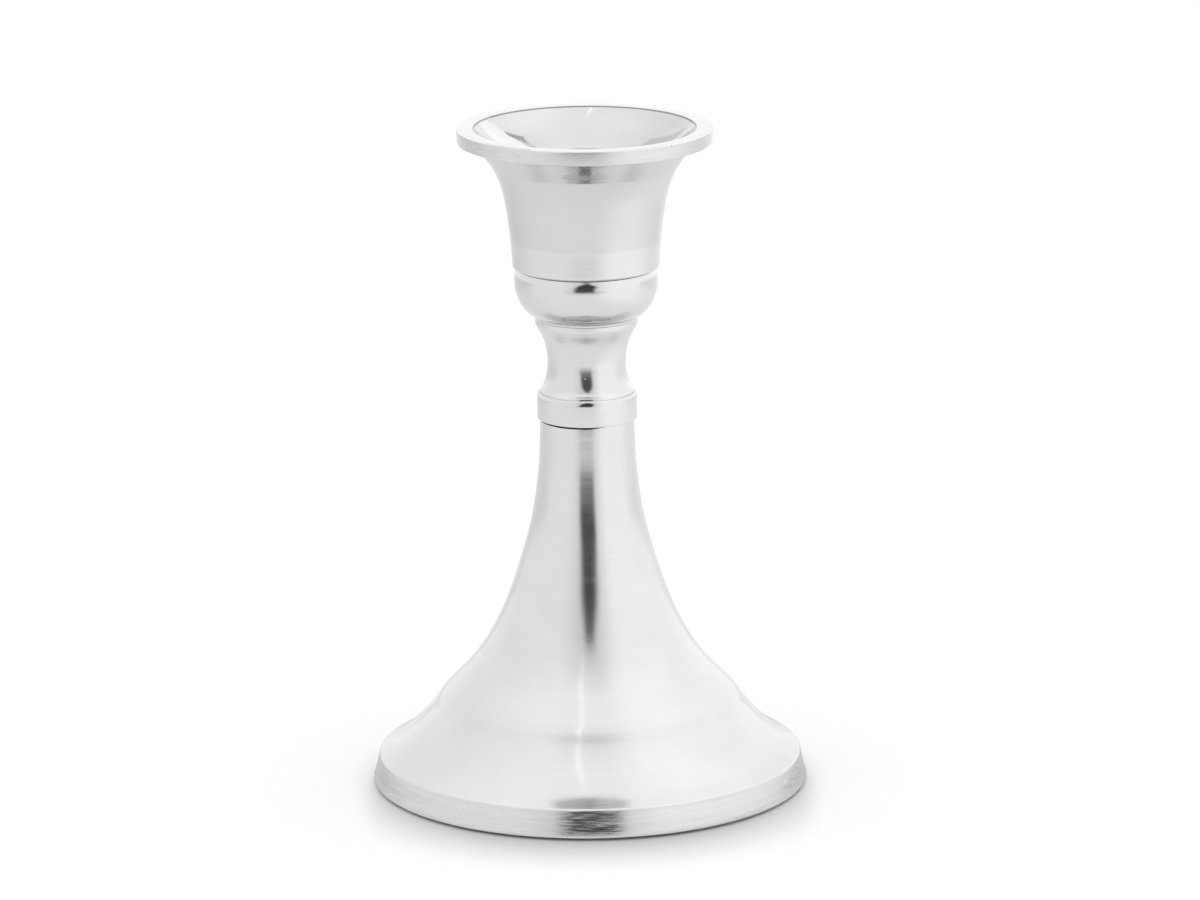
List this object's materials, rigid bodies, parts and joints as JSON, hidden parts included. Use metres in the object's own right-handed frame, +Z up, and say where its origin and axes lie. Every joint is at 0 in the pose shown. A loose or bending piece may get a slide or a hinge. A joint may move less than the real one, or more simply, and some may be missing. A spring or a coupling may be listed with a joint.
{
  "type": "altar candlestick",
  "caption": "Low turned metal candlestick: flared cup with a flat drip rim and round candle socket, knopped stem, and a hollow trumpet foot on a felt ring.",
  "frame": {"origin": "on the surface that the candlestick stands on, on the turning axis", "axes": "+Z up along the turning axis; the shape is the same in every direction round it, so +X and +Y are free"},
  "size_m": [0.0816, 0.0816, 0.125],
  "materials": {
    "polished_metal": "cast, turned and satin polished, bare",
    "zinc_steel": "zinc plated",
    "black_felt": "pressed wool felt"
  },
  "bodies": {
    "root": {"candle_cup": "polished_metal", "knop": "polished_metal", "stem_spool": "polished_metal", "collar": "polished_metal", "foot": "polished_metal", "felt_ring": "black_felt", "tie_rod": "zinc_steel", "flat_washer": "zinc_steel", "spring_washer": "zinc_steel", "hex_nut": "zinc_steel"}
  },
  "joints": []
}
